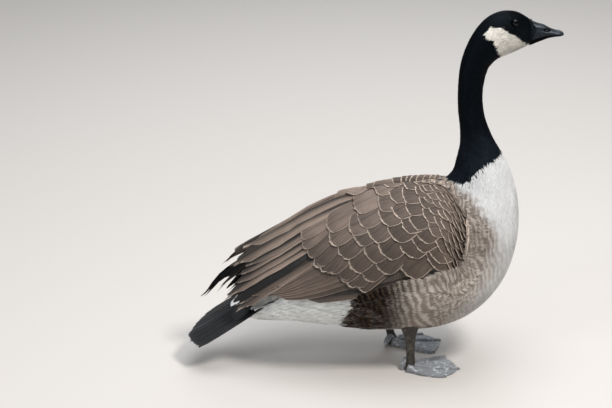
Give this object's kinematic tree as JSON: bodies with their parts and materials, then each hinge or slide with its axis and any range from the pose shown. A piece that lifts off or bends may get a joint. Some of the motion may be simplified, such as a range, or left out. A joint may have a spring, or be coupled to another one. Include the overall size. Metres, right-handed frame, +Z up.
{
  "type": "canada goose",
  "caption": "Life-size still model of a standing goose with a long raised neck, folded wings, closed tail and webbed feet.",
  "frame": {"origin": "on the floor under the middle of the bird's box", "axes": "+X the way the bird faces, +Y its left side, +Z up"},
  "size_m": [0.6335, 0.2254, 0.6363],
  "materials": {
    "body_feathers": "soft matte body feathers, white to grey-brown",
    "neck_feathers": "short velvety black feathers with a white cheek patch",
    "wing_feathers": "brown vaned feathers with pale fringes",
    "tail_feathers": "black vaned feathers, slight sheen",
    "bill_horn": "satin black horn",
    "eye": "wet dark brown eye",
    "leg_skin": "dark scaled skin",
    "foot_skin": "grey scaled skin and web"
  },
  "bodies": {
    "root": {"torso": "body_feathers", "neck_lower": "neck_feathers", "neck_upper": "neck_feathers", "head": "neck_feathers", "bill_upper": "bill_horn", "bill_lower": "bill_horn", "eye_right": "eye", "eye_left": "eye", "wing_right": "wing_feathers", "wing_left": "wing_feathers", "tail": "tail_feathers", "leg_right": "leg_skin", "leg_left": "leg_skin", "foot_right": "foot_skin", "foot_left": "foot_skin"}
  },
  "joints": []
}
